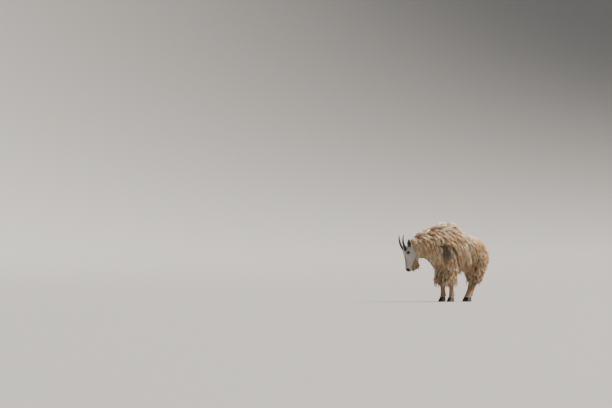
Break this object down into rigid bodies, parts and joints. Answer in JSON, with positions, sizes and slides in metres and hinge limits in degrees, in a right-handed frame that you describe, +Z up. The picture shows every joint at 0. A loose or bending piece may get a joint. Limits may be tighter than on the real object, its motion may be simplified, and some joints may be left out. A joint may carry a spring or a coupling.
{
  "type": "mountain goat",
  "caption": "Life-size standing mountain goat in a shaggy moulting coat, head low and turned, with slim black horns, tufted upper legs and cloven hooves.",
  "frame": {"origin": "centre of the bounding box's footprint, on the floor under the hooves", "axes": "+Z up, the goat faces -X, its left side is towards -Y"},
  "size_m": [1.5268, 0.5042, 1.025],
  "materials": {
    "coat": "long shaggy cream wool with tan tips and worn dark patches",
    "face_hair": "short off-white hair",
    "leg_hair": "short tan-brown hair under long wool",
    "horn": "black horn with growth rings, satin",
    "hoof_horn": "dark hoof horn, worn",
    "eye": "wet, very dark amber"
  },
  "bodies": {
    "root": {"head": "face_hair", "neck": "coat", "torso": "coat", "tail": "coat", "foreleg_left": "leg_hair", "foreleg_right": "leg_hair", "hindleg_left": "leg_hair", "hindleg_right": "leg_hair", "forehoof_left": "hoof_horn", "forehoof_right": "hoof_horn", "hindhoof_left": "hoof_horn", "hindhoof_right": "hoof_horn", "ear_left": "face_hair", "ear_right": "face_hair", "eye_left": "eye", "eye_right": "eye", "horn_left": "horn", "horn_right": "horn"}
  },
  "joints": []
}
